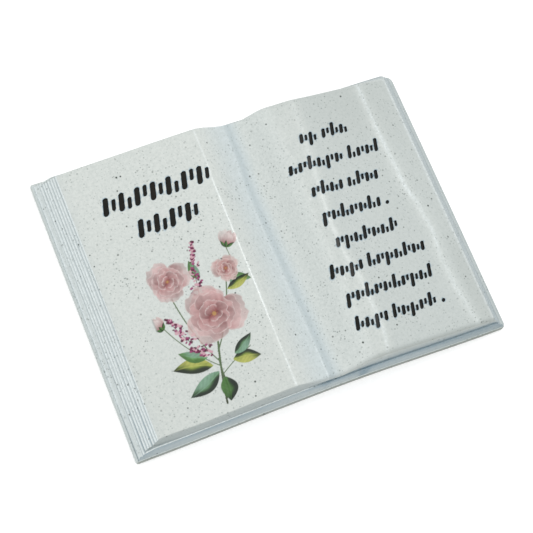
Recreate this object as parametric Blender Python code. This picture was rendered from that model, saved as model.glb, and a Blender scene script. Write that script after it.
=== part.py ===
"""Open book memorial plaque, a single resin casting that lies flat on its underside.

Metres. +X runs along the width of the open book, from the left page to the right one, +Y runs up the
pages to their head, and +Z points out of the pages. The underside is at Z = 0, centred on the origin.
"""

import math

import bmesh
import bpy
from mathutils import Vector

# Driving dimensions
BOOK_WIDTH = 0.180
BOOK_DEPTH = 0.1325
FOOT_BOW = 0.0014
HEAD_BOW = 0.0007

BOARD_THICKNESS = 0.0024
FRONT_LEFT_RADIUS = 0.0012
FRONT_RIGHT_RADIUS = 0.0022
BACK_LEFT_RADIUS = 0.0008
BACK_RIGHT_RADIUS = 0.0036
BOARD_EDGE_ROUNDING = 0.0004
BOARD_MARGIN_SIDE = 0.0013
BOARD_MARGIN_END = 0.0006
BOARD_BOW_STEPS = 12

# Heights of the page surface above the underside, at the middle of the depth
LEFT_EDGE_HEIGHT = 0.0172
LEFT_SHOULDER_RISE = 0.0017
RIDGE_HEIGHT = 0.0239
CREASE_HEIGHT = 0.0180
VALLEY_HEIGHT = 0.0168
HUMP_HEIGHT = 0.0236
HUMP_CLIMB = 0.0003
RIGHT_EDGE_HEIGHT = 0.0154

# Places across the open book, as shares of its width from the left side
RIDGE_SHARE = 0.400
CREASE_SHARE = 0.489
VALLEY_SHARE = 0.530
HUMP_SHARE = 0.600
FIRST_FOLD_SHARE = 0.650
SECOND_FOLD_SHARE = 0.883

# Soft folds of the right page
FIRST_FOLD_HEIGHT = 0.0004
FIRST_FOLD_REACH = 0.0052
SECOND_FOLD_HEIGHT = 0.0008
SECOND_FOLD_REACH = 0.0060
SECOND_FOLD_DRIFT = 0.0060

# Fore-edges, where the leaves show as ridges
FORE_EDGE_RUN = 0.0066
BAND_WIDTH = 0.0016
BAND_HEIGHT = 0.0022
LEAF_COUNT = 7
LEAF_GROOVE_DEPTH = 0.00045
LEAF_WAVE = 0.00012

# Head and foot of the page block
LINE_HEIGHT = 0.0105
LINE_SETBACK = 0.0012
LINE_LEDGE = 0.0005
LINE_DROP_REACH = 0.0080
FOOT_TOP_SETBACK = 0.0027
FOOT_TOP_LEAN = 0.0009
FOOT_CORNER_SETBACK = 0.0008
FOOT_CORNER_REACH = 0.0150
HEAD_TOP_SETBACK = 0.0043
HEAD_VALLEY_ADVANCE = 0.0006
HEAD_VALLEY_REACH = 0.0240
LEFT_EDGE_ROUNDING = 0.0004
RIGHT_EDGE_ROUNDING = 0.0022

# Rows of shallow strokes in place of the inscription
STROKE_DEPTH = 0.00055
STROKE_SLANT = math.radians(15)
HEADING_CENTRE_SHARE = 0.262
HEADING_FIRST_ROW_UP = 0.1023
HEADING_ROW_PITCH = 0.0142
HEADING_STROKE_PITCH = 0.0036
HEADING_STROKE_LENGTH = 0.0083
HEADING_STROKE_WIDTH = 0.0025
HEADING_ROWS = ((14,), (8,))
VERSE_CENTRE_SHARE = 0.7145
VERSE_FIRST_ROW_UP = 0.1060
VERSE_ROW_PITCH = 0.0126
VERSE_STROKE_PITCH = 0.0023
VERSE_STROKE_LENGTH = 0.0044
VERSE_STROKE_WIDTH = 0.0018
VERSE_WORD_GAP = 0.0021
VERSE_ROWS = ((4, 6), (12, 7), (7, 7), (13, 1), (14,), (7, 13), (19,), (7, 10, 1))

# Fineness of the swept surfaces
PAGE_STEP = 0.0045
GUTTER_STEP = 0.0020
DEPTH_STEPS = 14
ROUNDING_STEPS = 3

OVERLAP = 0.0003
CLEARANCE = 0.004


def across(share):
    """X of a place given as a share of the width from the left side."""
    return (share - 0.5) * BOOK_WIDTH


LEFT_FOOT_X = -BOOK_WIDTH / 2 + BOARD_MARGIN_SIDE
RIGHT_FOOT_X = BOOK_WIDTH / 2 - BOARD_MARGIN_SIDE
LEFT_EDGE_X = LEFT_FOOT_X + BAND_WIDTH + FORE_EDGE_RUN
RIGHT_EDGE_X = RIGHT_FOOT_X - BAND_WIDTH - FORE_EDGE_RUN
FRONT_Y = -BOOK_DEPTH / 2 + BOARD_MARGIN_END


def ease(t):
    """Smooth step from 0 to 1 with level ends."""
    t = min(max(t, 0.0), 1.0)
    return t * t * (3 - 2 * t)


def bump(distance, reach):
    """Bell of height 1 around distance 0."""
    return math.exp(-((distance / reach) ** 2))


def page_height(x, y):
    """Height of the page surface above the underside."""
    ridge_x, crease_x, valley_x = across(RIDGE_SHARE), across(CREASE_SHARE), across(VALLEY_SHARE)
    hump_x, fold_x = across(HUMP_SHARE), across(FIRST_FOLD_SHARE)
    x = min(max(x, LEFT_EDGE_X), RIGHT_EDGE_X)
    if x <= ridge_x:
        along = x - LEFT_EDGE_X
        shoulder = LEFT_SHOULDER_RISE * (1 - math.exp(-along / (2 * LEFT_SHOULDER_RISE)))
        rest = RIDGE_HEIGHT - LEFT_EDGE_HEIGHT - LEFT_SHOULDER_RISE
        t = along / (ridge_x - LEFT_EDGE_X)
        return LEFT_EDGE_HEIGHT + shoulder + rest * (0.35 * t + 0.65 * ease(t * 1.04 - 0.04))
    if x <= crease_x:
        t = (x - ridge_x) / (crease_x - ridge_x)
        return RIDGE_HEIGHT + (CREASE_HEIGHT - RIDGE_HEIGHT) * (0.3 * t + 0.7 * ease(t))
    if x <= valley_x:
        t = (x - crease_x) / (valley_x - crease_x)
        return CREASE_HEIGHT + (VALLEY_HEIGHT - CREASE_HEIGHT) * math.sin(t * math.pi / 2)
    if x <= hump_x:
        t = (x - valley_x) / (hump_x - valley_x)
        return VALLEY_HEIGHT + (HUMP_HEIGHT - VALLEY_HEIGHT) * ease(t)
    top = HUMP_HEIGHT + HUMP_CLIMB * (min(x, fold_x) - hump_x) / (fold_x - hump_x)
    t = max(0.0, (x - fold_x) / (RIGHT_EDGE_X - fold_x))
    fall = (RIGHT_EDGE_HEIGHT - top) * (0.82 * t + 0.18 * t**6)
    sway = 0.3 * SECOND_FOLD_DRIFT * math.sin(2 * math.pi * y / BOOK_DEPTH)
    drift = SECOND_FOLD_DRIFT * ease(0.5 - 2.2 * y / BOOK_DEPTH)
    first = FIRST_FOLD_HEIGHT * bump(x - fold_x + sway, FIRST_FOLD_REACH) * ease((x - hump_x) / FIRST_FOLD_REACH)
    second = SECOND_FOLD_HEIGHT * bump(x - across(SECOND_FOLD_SHARE) - drift, SECOND_FOLD_REACH)
    return top + fall + first + second


def spread(start, end, step):
    """Evenly spaced numbers from start up to, and without, end, at most step apart."""
    count = max(1, math.ceil((end - start) / step - 1e-6))
    return [start + (end - start) * i / count for i in range(count)]


def page_places():
    """X of the section's points on the page surface, closer together at the gutter."""
    places = spread(LEFT_EDGE_X, across(RIDGE_SHARE), PAGE_STEP)
    places += spread(across(RIDGE_SHARE), across(CREASE_SHARE), GUTTER_STEP)
    places += spread(across(CREASE_SHARE), across(HUMP_SHARE), GUTTER_STEP)
    places += spread(across(HUMP_SHARE), RIGHT_EDGE_X, PAGE_STEP)
    return places + [RIGHT_EDGE_X]


def fore_edge(side, y):
    """Points of one fore-edge in the XZ plane, from its foot up to just below the page edge."""
    foot_x, edge_x = (LEFT_FOOT_X, LEFT_EDGE_X) if side < 0 else (RIGHT_FOOT_X, RIGHT_EDGE_X)
    edge_z = page_height(edge_x, y)
    band_x = foot_x - side * BAND_WIDTH
    band_z = BOARD_THICKNESS + BAND_HEIGHT
    run, rise = edge_x - band_x, edge_z - band_z
    length = math.hypot(run, rise)
    inward_x, inward_z = -side * rise / length, -abs(run) / length
    points = [
        (foot_x, BOARD_THICKNESS - OVERLAP),
        (foot_x - side * 0.15 * BAND_WIDTH, BOARD_THICKNESS + 0.55 * BAND_HEIGHT),
        (band_x, band_z),
    ]
    for leaf in range(LEAF_COUNT):
        wave = LEAF_WAVE * math.sin(1.7 * leaf + 9.0 * y / BOOK_DEPTH + side)
        groove = (leaf + 0.25) / LEAF_COUNT
        crest = (leaf + 0.80) / LEAF_COUNT
        depth = LEAF_GROOVE_DEPTH + wave
        points.append((band_x + run * groove + inward_x * depth, band_z + rise * groove + inward_z * depth))
        if leaf < LEAF_COUNT - 1:
            points.append((band_x + run * crest, band_z + rise * crest))
    return points


def block_section(y):
    """Outline of the page block in the XZ plane at one place along the depth."""
    left = fore_edge(-1, y)
    page = [(x, page_height(x, y)) for x in page_places()]
    right = fore_edge(1, y)
    return [Vector((x, y, z)) for x, z in left + page + right[::-1]]


def bow(x, y_sign):
    """How far the foot or the head of the book draws in at one place along the width."""
    most = FOOT_BOW if y_sign < 0 else HEAD_BOW
    return most * math.cos(math.pi * min(max(x / BOOK_WIDTH, -0.5), 0.5)) ** 2


def page_setback(x, y_sign):
    """How far the page surface begins behind the block's foot, or its head, at one place along the width."""
    if y_sign > 0:
        return HEAD_TOP_SETBACK - HEAD_VALLEY_ADVANCE * bump(x - across(HUMP_SHARE), HEAD_VALLEY_REACH)
    lean = (page_height(x, FRONT_Y) - VALLEY_HEIGHT) / (RIDGE_HEIGHT - VALLEY_HEIGHT)
    at_corner = bump(max(0.0, x - LEFT_EDGE_X), FOOT_CORNER_REACH)
    return FOOT_TOP_SETBACK + FOOT_TOP_LEAN * lean + FOOT_CORNER_SETBACK * at_corner


def end_profile(x, y_sign):
    """Outline of the block's foot, or of its head, in the YZ plane at one place along the width."""
    page_y = FRONT_Y + page_setback(x, y_sign)
    drawn_in = FRONT_Y + bow(x, y_sign)
    height = page_height(x, page_y * -y_sign)
    near_side = min(x - LEFT_FOOT_X, RIGHT_FOOT_X - x) / LINE_DROP_REACH
    low = BOARD_THICKNESS + BAND_HEIGHT
    line_z = low + (LINE_HEIGHT - low) * ease(near_side)
    line_z = min(line_z, low + 0.75 * (height - low))
    to_right = ease((x - across(VALLEY_SHARE)) / (across(HUMP_SHARE) - across(VALLEY_SHARE)))
    rounding = LEFT_EDGE_ROUNDING + (RIGHT_EDGE_ROUNDING - LEFT_EDGE_ROUNDING) * to_right
    line_y = drawn_in + LINE_SETBACK
    upper_y = line_y + LINE_LEDGE
    points = [
        (drawn_in, BOARD_THICKNESS - OVERLAP),
        (drawn_in + 0.4 * LINE_SETBACK, BOARD_THICKNESS + 0.3 * (line_z - BOARD_THICKNESS)),
        (line_y, line_z),
        (upper_y, line_z + 0.3 * LINE_LEDGE),
    ]
    for step in range(ROUNDING_STEPS + 1):
        turn = math.pi / 2 * step / ROUNDING_STEPS
        points.append((page_y + rounding * (1 - math.cos(turn)), height - rounding * (1 - math.sin(turn))))
    points.append((page_y + rounding + OVERLAP, height + CLEARANCE))
    return [(y * -y_sign, z) for y, z in points]


def ends_section(x):
    """Outline in the YZ plane of the envelope that slopes the block's foot and head."""
    foot = end_profile(x, -1)
    head = end_profile(x, 1)
    return [Vector((x, y, z)) for y, z in foot + head[::-1]]


def add_object(name, bm, collection):
    """New object from a bmesh, with its faces turned outwards."""
    bmesh.ops.recalc_face_normals(bm, faces=bm.faces)
    mesh = bpy.data.meshes.new(name)
    bm.to_mesh(mesh)
    bm.free()
    item = bpy.data.objects.new(name, mesh)
    collection.objects.link(item)
    return item


def loft(name, sections, collection):
    """Solid that passes through closed sections of equally many points, made by extruding the first."""
    bm = bmesh.new()
    end = bm.faces.new([bm.verts.new(point) for point in sections[0]])
    inner = []
    for section in sections[1:]:
        grown = bmesh.ops.extrude_face_region(bm, geom=[end])
        end = next(item for item in grown["geom"] if isinstance(item, bmesh.types.BMFace))
        inner.append(end)
        for vert, point in zip(end.verts, section):
            vert.co = point
    bmesh.ops.delete(bm, geom=inner[:-1], context="FACES_ONLY")
    return add_object(name, bm, collection)


def combine(target, other, operation):
    """Applies one exact Boolean to the target."""
    modifier = target.modifiers.new(other.name, "BOOLEAN")
    modifier.operation = operation
    modifier.solver = "EXACT"
    modifier.object = other
    settled = target.evaluated_get(bpy.context.evaluated_depsgraph_get())
    mesh = bpy.data.meshes.new_from_object(settled)
    target.modifiers.clear()
    target.data = mesh


def inner_radius(radius, inset):
    """Radius of a corner on an outline drawn inside the full one."""
    return radius / (1 + inset / radius)


def board_outline(inset, z):
    """Rectangle with its own rounding at each corner, and its foot and head drawn in along the middle."""
    half_w, half_d = BOOK_WIDTH / 2 - inset, BOOK_DEPTH / 2 - inset
    corners = (
        (1, -1, inner_radius(FRONT_RIGHT_RADIUS, inset)),
        (1, 1, inner_radius(BACK_RIGHT_RADIUS, inset)),
        (-1, 1, inner_radius(BACK_LEFT_RADIUS, inset)),
        (-1, -1, inner_radius(FRONT_LEFT_RADIUS, inset)),
    )
    points = []
    for corner, (x_sign, y_sign, radius) in enumerate(corners):
        for step in range(ROUNDING_STEPS + 1):
            turn = math.pi / 2 * (corner - 1 + step / ROUNDING_STEPS)
            x = x_sign * (half_w - radius) + radius * math.cos(turn)
            y = y_sign * (half_d - radius) + radius * math.sin(turn)
            points.append((x, y))
        if x_sign == y_sign:
            start = x_sign * (half_w - radius)
            end = x_sign * (corners[(corner + 1) % 4][2] - half_w)
            for step in range(1, BOARD_BOW_STEPS):
                points.append((start + (end - start) * step / BOARD_BOW_STEPS, y_sign * half_d))
    return [Vector((x, y - math.copysign(bow(x, y), y), z)) for x, y in points]


def cover_board(collection):
    """Board under the page block, with rounded corners and a softened upper edge."""
    sections = [
        board_outline(0.0, 0.0),
        board_outline(0.0, BOARD_THICKNESS - BOARD_EDGE_ROUNDING),
        board_outline(BOARD_EDGE_ROUNDING, BOARD_THICKNESS),
    ]
    return loft("board", sections, collection)


def add_stroke(bm, foot, length, width, taper):
    """Slanted, slightly tapered bar whose floor follows the page at the stroke's depth."""
    lean = length * math.tan(STROKE_SLANT)
    outline = [
        (foot[0], foot[1]),
        (foot[0] + width, foot[1]),
        (foot[0] + lean + width * (1 + taper), foot[1] + length),
        (foot[0] + lean, foot[1] + length),
    ]
    floor = bm.faces.new([bm.verts.new((x, y, page_height(x, y) - STROKE_DEPTH)) for x, y in outline])
    grown = bmesh.ops.extrude_face_region(bm, geom=[floor])
    lifted = [item for item in grown["geom"] if isinstance(item, bmesh.types.BMVert)]
    bmesh.ops.translate(bm, vec=(0, 0, STROKE_DEPTH + CLEARANCE), verts=lifted)


def add_rows(bm, rows, centre_x, first_up, row_pitch, pitch, length, width, gap):
    """Centred rows of strokes in groups. Thick and thin strokes take turns, with a few long ones."""
    mark = 0
    for row, groups in enumerate(rows):
        base_y = -BOOK_DEPTH / 2 + first_up - row * row_pitch
        total = sum(groups) * pitch + (len(groups) - 1) * gap
        x = centre_x - total / 2
        for group in groups:
            for stroke in range(group):
                if group == 1:
                    add_stroke(bm, (x, base_y), width, width, 0.0)
                elif stroke % 2 == 0:
                    kind = (mark * 3 + row) % 7
                    up = 0.45 * length if kind in (1, 4) and gap else 0.0
                    down = 0.45 * length if kind == 6 and gap else 0.0
                    shift = down * math.tan(STROKE_SLANT)
                    add_stroke(bm, (x - shift, base_y - down), length + up + down, width, 0.12)
                else:
                    raised = 0.18 * length * ((mark + row) % 3)
                    shift = raised * math.tan(STROKE_SLANT)
                    add_stroke(bm, (x + 0.1 * pitch + shift, base_y + raised), 0.62 * length, 0.7 * width, 0.2)
                mark += 1
                x += pitch
            x += gap


def inscription_strokes(collection):
    """All recesses of the inscription, as one set of separate bars."""
    bm = bmesh.new()
    add_rows(
        bm,
        HEADING_ROWS,
        across(HEADING_CENTRE_SHARE),
        HEADING_FIRST_ROW_UP,
        HEADING_ROW_PITCH,
        HEADING_STROKE_PITCH,
        HEADING_STROKE_LENGTH,
        HEADING_STROKE_WIDTH,
        0.0,
    )
    add_rows(
        bm,
        VERSE_ROWS,
        across(VERSE_CENTRE_SHARE),
        VERSE_FIRST_ROW_UP,
        VERSE_ROW_PITCH,
        VERSE_STROKE_PITCH,
        VERSE_STROKE_LENGTH,
        VERSE_STROKE_WIDTH,
        VERSE_WORD_GAP,
    )
    return add_object("inscription_strokes", bm, collection)


def resin_material():
    """Pale grey-green glossy cast resin."""
    material = bpy.data.materials.new("speckled_pale_resin")
    material.use_nodes = True
    shader = material.node_tree.nodes["Principled BSDF"]
    shader.inputs["Base Color"].default_value = (0.66, 0.71, 0.68, 1.0)
    shader.inputs["Roughness"].default_value = 0.28
    shader.inputs["Metallic"].default_value = 0.0
    material.diffuse_color = (0.66, 0.71, 0.68, 1.0)
    return material


for leftover in list(bpy.data.objects):
    bpy.data.objects.remove(leftover, do_unlink=True)

book_parts = bpy.data.collections.new("open_book_plaque")
cutters = bpy.data.collections.new("cutters")
for collection in (book_parts, cutters):
    bpy.context.scene.collection.children.link(collection)

beyond = BOOK_DEPTH / 2 + CLEARANCE
depth_places = [-beyond] + spread(FRONT_Y, -FRONT_Y, BOOK_DEPTH / DEPTH_STEPS) + [-FRONT_Y, beyond]
block = loft("book_casting", [block_section(y) for y in depth_places], book_parts)

outer = BOOK_WIDTH / 2 + CLEARANCE
left_places = spread(LEFT_FOOT_X, LEFT_EDGE_X, 1.5 * GUTTER_STEP)
right_places = [-x for x in reversed(left_places)]
width_places = [-outer] + left_places + page_places() + right_places + [outer]
ends = loft("block_ends", [ends_section(x) for x in width_places], cutters)
board = cover_board(cutters)
strokes = inscription_strokes(cutters)

combine(block, ends, "INTERSECT")
combine(block, board, "UNION")
combine(block, strokes, "DIFFERENCE")
block.data.materials.clear()
block.data.materials.append(resin_material())

for cutter in (ends, board, strokes):
    cutter.hide_render = True
    cutter.display_type = "WIRE"
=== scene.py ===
"""Open book memorial plaque, a glossy casting of pale speckled resin with painted strokes and a print."""

import math
import random

import bmesh
import bpy
import numpy as np
from mathutils import Matrix, Vector


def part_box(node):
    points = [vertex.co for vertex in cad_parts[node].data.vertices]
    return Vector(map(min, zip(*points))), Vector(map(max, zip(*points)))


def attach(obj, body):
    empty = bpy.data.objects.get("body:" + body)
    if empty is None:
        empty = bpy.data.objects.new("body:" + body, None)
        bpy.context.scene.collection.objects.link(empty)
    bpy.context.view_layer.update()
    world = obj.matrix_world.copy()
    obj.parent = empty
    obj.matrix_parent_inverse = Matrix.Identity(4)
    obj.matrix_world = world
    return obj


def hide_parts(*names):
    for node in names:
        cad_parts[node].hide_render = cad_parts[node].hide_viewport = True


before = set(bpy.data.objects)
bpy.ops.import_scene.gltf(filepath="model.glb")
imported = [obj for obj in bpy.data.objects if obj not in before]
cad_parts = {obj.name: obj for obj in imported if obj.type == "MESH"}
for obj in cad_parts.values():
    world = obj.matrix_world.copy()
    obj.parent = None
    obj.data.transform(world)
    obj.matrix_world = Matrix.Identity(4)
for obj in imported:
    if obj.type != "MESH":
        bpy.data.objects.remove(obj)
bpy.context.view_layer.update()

# The casting. One pour of filled resin gives the thin board and the block of pages on it, with leaf ridges
# along both fore-edges, a dipped gutter and soft folds. Sizes are in millimetres from the board's front left
# corner.
LOW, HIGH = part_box("book_casting")
WIDTH, DEPTH = 1000 * (HIGH.x - LOW.x), 1000 * (HIGH.y - LOW.y)
# From a little under the board's top, its edge carries a painted highlight.
BOARD_TOP, RIM_TOP, RIM_HIGHLIGHT_FROM = 2.4, 2.38, 2.36
BOARD_EDGE = ((0.0, 2.0), (0.03, 2.15), (0.12, 2.28), (0.25, 2.37), (0.42, BOARD_TOP))
CORNER_RADII = dict(front_left=1.2, front_right=2.2, back_left=0.8, back_right=3.6)
FOOT_BOW, HEAD_BOW, FOOT_TAPER, SIDE_TAPER = 1.4, 0.7, 0.35, 0.5
SIDE_MARGIN, END_MARGIN, BORDER = 1.3, 0.6, 0.8
BAND_GROOVE_AT, BAND_GROOVE_WIDTH = 1.18, 0.14
BAND = (
    (1.02, RIM_TOP), (BAND_GROOVE_AT, 2.28), (1.3, BOARD_TOP), (1.42, 3.0), (1.55, 3.6), (1.75, 4.05),
    (2.1, 4.38), (2.6, 4.56))
BAND_END, BAND_TOP = 2.9, 4.6
EDGE_AT = 9.5
LEAVES, LEAF_POINTS = 7, 8
LEAF_GROOVE_DEPTH, LEAF_GROOVE_WIDTH = 0.5, 0.17
EDGE_LIFT, EDGE_LIFT_REACH, LEFT_CLIMB = 1.7, 3.4, 5.0
LEFT_HEIGHT, RIDGE_HEIGHT, CREASE_HEIGHT = 17.2, 23.9, 18.0
VALLEY_HEIGHT, HUMP_HEIGHT, RIGHT_HEIGHT = 16.8, 23.6, 15.4
HUMP_CLIMB = 0.035
VALLEY_X, HUMP_X = 95.4, 108.0
RIDGE_LINE = ((0, 71.1), (33, 71.4), (63, 71.7), (99, 71.7), (113, 72.4), (133, 72.5))
CREASE_LINE = ((0, 87.9), (96, 86.4), (111, 87.6), (133, 88.0))
FIRST_FOLD = (
    (0, 114.5), (17, 117.2), (40, 117.2), (54, 114.8), (64, 114.6), (95, 117.4), (116, 119.8), (133, 120.6))
SECOND_FOLD = (
    (0, 162.8), (12, 160.3), (24, 158.6), (38, 158.3), (51, 159.7), (62, 158.9), (76, 156.2), (106, 155.0),
    (133, 154.8))
FIRST_FOLD_RISE, FIRST_FOLD_REACH, FIRST_FOLD_BEND = 0.2, 5.0, 0.55
SECOND_FOLD_SWELL, SECOND_FOLD_BEAD = 0.52, 0.06
SWAY = 0.030
LINE_HEIGHT, LINE_SETBACK, LINE_REACH = 10.5, 1.2, 8.0
HEAD_START, FOOT_START, FOOT_MEASURE, ENDS_SPAN, FACE_FROM = 4.9, 3.3, 4.2, 11.0, 2.35
ROUNDING, MORE_ROUNDING, ROUNDING_STEPS = 0.4, 1.8, 6
PAGE_STEP, RIDGE_STEP, CREASE_STEP = 1.0, 0.2, 0.25


def smooth(t):
    """Smooth step from 0 to 1 with level ends."""
    t = np.clip(t, 0.0, 1.0)
    return t * t * (3 - 2 * t)


def bell(distance, reach):
    """Bell of height 1 around distance 0."""
    return np.exp(-((distance / reach) ** 2))


def wander(y, knots):
    """X of a line that runs from the foot to the head through a few (y, x) points."""
    ys, xs = (np.array(column, float) for column in zip(*knots))
    i = np.clip(np.searchsorted(ys, y) - 1, 0, len(ys) - 2)
    return xs[i] + (xs[i + 1] - xs[i]) * smooth((y - ys[i]) / (ys[i + 1] - ys[i]))


def page_height(x, y):
    """Height of the page faces.

    The left page climbs to the ridge, a slope drops to the crease and the gutter dips to the valley. The
    right page rises to the hump, bends at the first fold and runs over the second one down to its edge.
    """
    x = np.clip(x, EDGE_AT, WIDTH - EDGE_AT)
    ridge, crease = wander(y, RIDGE_LINE), wander(y, CREASE_LINE)
    along = x - EDGE_AT
    t = along / (ridge - EDGE_AT)
    left = LEFT_HEIGHT + EDGE_LIFT * (1 - np.exp(-along / EDGE_LIFT_REACH))
    left = left + LEFT_CLIMB * (0.35 * t + 0.65 * smooth(t * 1.04 - 0.04))
    t = (x - ridge) / (crease - ridge)
    slope = RIDGE_HEIGHT + (CREASE_HEIGHT - RIDGE_HEIGHT) * (0.3 * t + 0.7 * smooth(t))
    t = (x - crease) / (VALLEY_X - crease)
    gutter = CREASE_HEIGHT + (VALLEY_HEIGHT - CREASE_HEIGHT) * np.sin(np.clip(t, 0, 1) * math.pi / 2)
    rise = VALLEY_HEIGHT + (HUMP_HEIGHT - VALLEY_HEIGHT) * smooth((x - VALLEY_X) / (HUMP_X - VALLEY_X))
    fold, end = wander(y, FIRST_FOLD), WIDTH - EDGE_AT
    past = FIRST_FOLD_BEND * np.logaddexp(0.0, (x - fold) / FIRST_FOLD_BEND)
    top, t = HUMP_HEIGHT + HUMP_CLIMB * (fold - HUMP_X), past / (end - fold)
    right = HUMP_HEIGHT + HUMP_CLIMB * (x - HUMP_X - past) + (RIGHT_HEIGHT - top) * (0.82 * t + 0.18 * t**6)
    first = FIRST_FOLD_RISE * bell(x - fold, FIRST_FOLD_REACH) * smooth((x - HUMP_X) / 5.5)
    away = x - wander(y, SECOND_FOLD)
    second = SECOND_FOLD_SWELL * bell(away - 4.2, 6.0) + SECOND_FOLD_BEAD * bell(away + 0.3, 0.85)
    sections = [x <= ridge, x <= crease, x <= VALLEY_X, x <= HUMP_X]
    face = np.select(sections, [left, slope, gutter, rise], right)
    land = np.clip(x - ridge, 0.0, 0.7)
    lip = 0.06 * land + 0.02 * bell(x - crease, 0.4) + 0.015 * bell(x - crease + 2.6, 0.5)
    lip = lip + 0.10 * bell(x - end + 0.6, 0.7)
    sway = SWAY * np.sin(x / 7.3 + 1.3 * np.sin(y / 17)) * np.sin(y / 11.0 + x / 31)
    return face + first + second + lip + sway


def page_light_and_gloss(x, y):
    """Painted shade, painted highlight, painted cool cast and dullness of the page faces.

    Painted shade lies in the gutter, past the first fold and by the left edge. Painted highlights run along
    the ridge, the crease, both folds and the right edge. A cool cast is painted on the slope, and the gloss
    is duller in the gutter, on the slope and by the first fold.
    """
    past_ridge, past_crease = x - wander(y, RIDGE_LINE), x - wander(y, CREASE_LINE)
    past_first, past_second = x - wander(y, FIRST_FOLD), x - wander(y, SECOND_FOLD)
    edge = x - WIDTH + EDGE_AT
    beyond = smooth((past_first - 1.0) / 4.0) * (1 - 0.7 * bell(past_second, 3.0))
    shade = 0.22 * bell(past_crease - 1.9, 1.9) + 0.10 * beyond + 0.05 * bell(x - EDGE_AT, 2.5)
    # Pale is the painted highlight along the ridge, the right edge, the crease and both folds.
    pale = (0.28 + 0.12 * np.sin(y / 7.0 + 1.0)) * bell(past_ridge - 0.4, 0.45) + 0.6 * bell(edge + 0.5, 0.55)
    pale = pale + (0.10 + 0.32 * (1 - smooth((y - 8.0) / 16.0))) * bell(past_crease + 0.1, 0.35)
    second_fold_highlight = 0.27 + 0.22 * smooth((y - 20.0) / 75.0) + 0.10 * np.sin(y / 4.0 + 2.0)
    pale = pale + second_fold_highlight * bell(past_second + 0.1, 0.85)
    pale = pale + (0.12 + 0.20 * (1 - smooth((y - 25.0) / 20.0))) * bell(past_first - 0.2, 0.8)
    cool = smooth(past_ridge / 16.0) * (1 - 0.8 * smooth((past_crease - 3.0) / 6.0))
    dull = 0.8 * smooth((past_crease + 1.0) / 3.0) * (1 - smooth((x - 98.0) / 6.0))
    dull = dull + 0.25 * smooth(past_ridge / 4.0) * (past_crease < 0)
    dull = dull + (0.12 + 0.15 * smooth((y - 70.0) / 40.0)) * bell(past_first - 1.0, 5.0)
    return np.stack(np.broadcast_arrays(shade, pale, cool, dull), axis=-1)


def page_grey_shade(x, y):
    """Share of painted grey shade over the pages, most on the right one towards its head and its front
    corner.
    """
    beyond = smooth((x - 106.0) / 5.0) * (1 - 0.6 * bell(x - wander(y, SECOND_FOLD), 3.0))
    tone = 0.16 * beyond + 0.12 * bell(x - 146.0, 22.0) * smooth((y - 88.0) / 30.0)
    tone = tone + 0.12 * smooth((x - 161.0) / 4.0) * (1 - smooth((y - 30.0) / 25.0))
    return tone + 0.07 * (1 - smooth((y - 15.0) / 50.0)) * (1 - smooth((x - 68.0) / 4.0))


def bow(x, head=False):
    """How far the foot or the head of the book draws in."""
    arc = np.cos(math.pi * (x / WIDTH - 0.5)) ** 2
    return HEAD_BOW * arc if head else FOOT_BOW * arc + FOOT_TAPER * smooth((x - 70.0) / 50.0)


def side_points(y, side):
    """Offset from the side, height, painted shade, painted highlight and painted grey of each point across
    one fore-edge.
    """
    edge_z = page_height(EDGE_AT if side < 0 else WIDTH - EDGE_AT, y)
    near_foot, level = 1 - smooth((y - 5.0) / 26.0), np.zeros_like(y)
    rows = []
    # Rounded edge of the board, its flat border and the stepped band.
    for offset, z in BOARD_EDGE + ((BORDER, BOARD_TOP),) + BAND:
        # Painted shade in the groove towards the foot and over the whole right fore-edge, a painted highlight
        # on the left band and painted grey shade on the board's wall.
        groove = bell(offset - BAND_GROOVE_AT, BAND_GROOVE_WIDTH) if offset < 1.5 else 0.0
        shade = 0.04 + groove * 0.8 * near_foot + (0.22 if side > 0 else 0.0)
        painted_highlight = 0.55 * (1 - near_foot) * (side < 0) * (1.0 < offset < 1.6)
        rim = 0.3 if z < RIM_TOP else 0.0
        rows.append((level + offset, level + z, level + shade, level + painted_highlight, level + rim))
    run, rise = EDGE_AT - BAND_END, edge_z - BAND_TOP
    length = np.hypot(run, rise)
    # Leaves, with a groove below each, from the band up to the page.
    for k in range(LEAVES * LEAF_POINTS):
        t = k / (LEAVES * LEAF_POINTS)
        leaf = int(t * LEAVES + 0.75)
        shift = 0.10 * np.sin(y / (13 + 3 * (leaf % 3)) + 2.1 * leaf + side)
        turn = (t * LEAVES - 0.25 + shift) % 1.0
        deep = bell(np.minimum(turn, 1 - turn), LEAF_GROOVE_WIDTH) * smooth(t * 30)
        deep = deep * (0.85 + 0.15 * np.sin(1.9 * leaf + y / 29 + side))
        sunk = LEAF_GROOVE_DEPTH * deep
        # Painted shade in the grooves and over the right fore-edge, painted highlights on the left leaf
        # crests.
        shade = (0.38 + 0.45 * near_foot) * deep if side < 0 else 0.46 + 0.12 * near_foot + 0.15 * deep
        rows.append((BAND_END + run * t + sunk * rise / length, BAND_TOP + rise * t - sunk * run / length,
                     shade, level + 0.32 * (side < 0) * (1 - deep) ** 2, level + 0.08 * (side > 0)))
    return np.array(rows).transpose(1, 0, 2)


# Offset, height, painted shade and painted highlight of the bead on the left half of both ends, then offset
# and height of the plain step that takes its place on the right half.
LINE_STEPS = (
    (0.0, 0.0, 0.75, 0.0, 0.0, 0.0), (0.10, 0.18, 0.0, 0.5, 0.20, 0.04), (0.36, 0.30, 0.0, 0.6, 0.42, -0.02),
    (0.52, 0.26, 0.3, 0.1, 0.66, 0.02), (0.56, 0.40, 0.62, 0.0, 0.66, 0.45))


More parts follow.
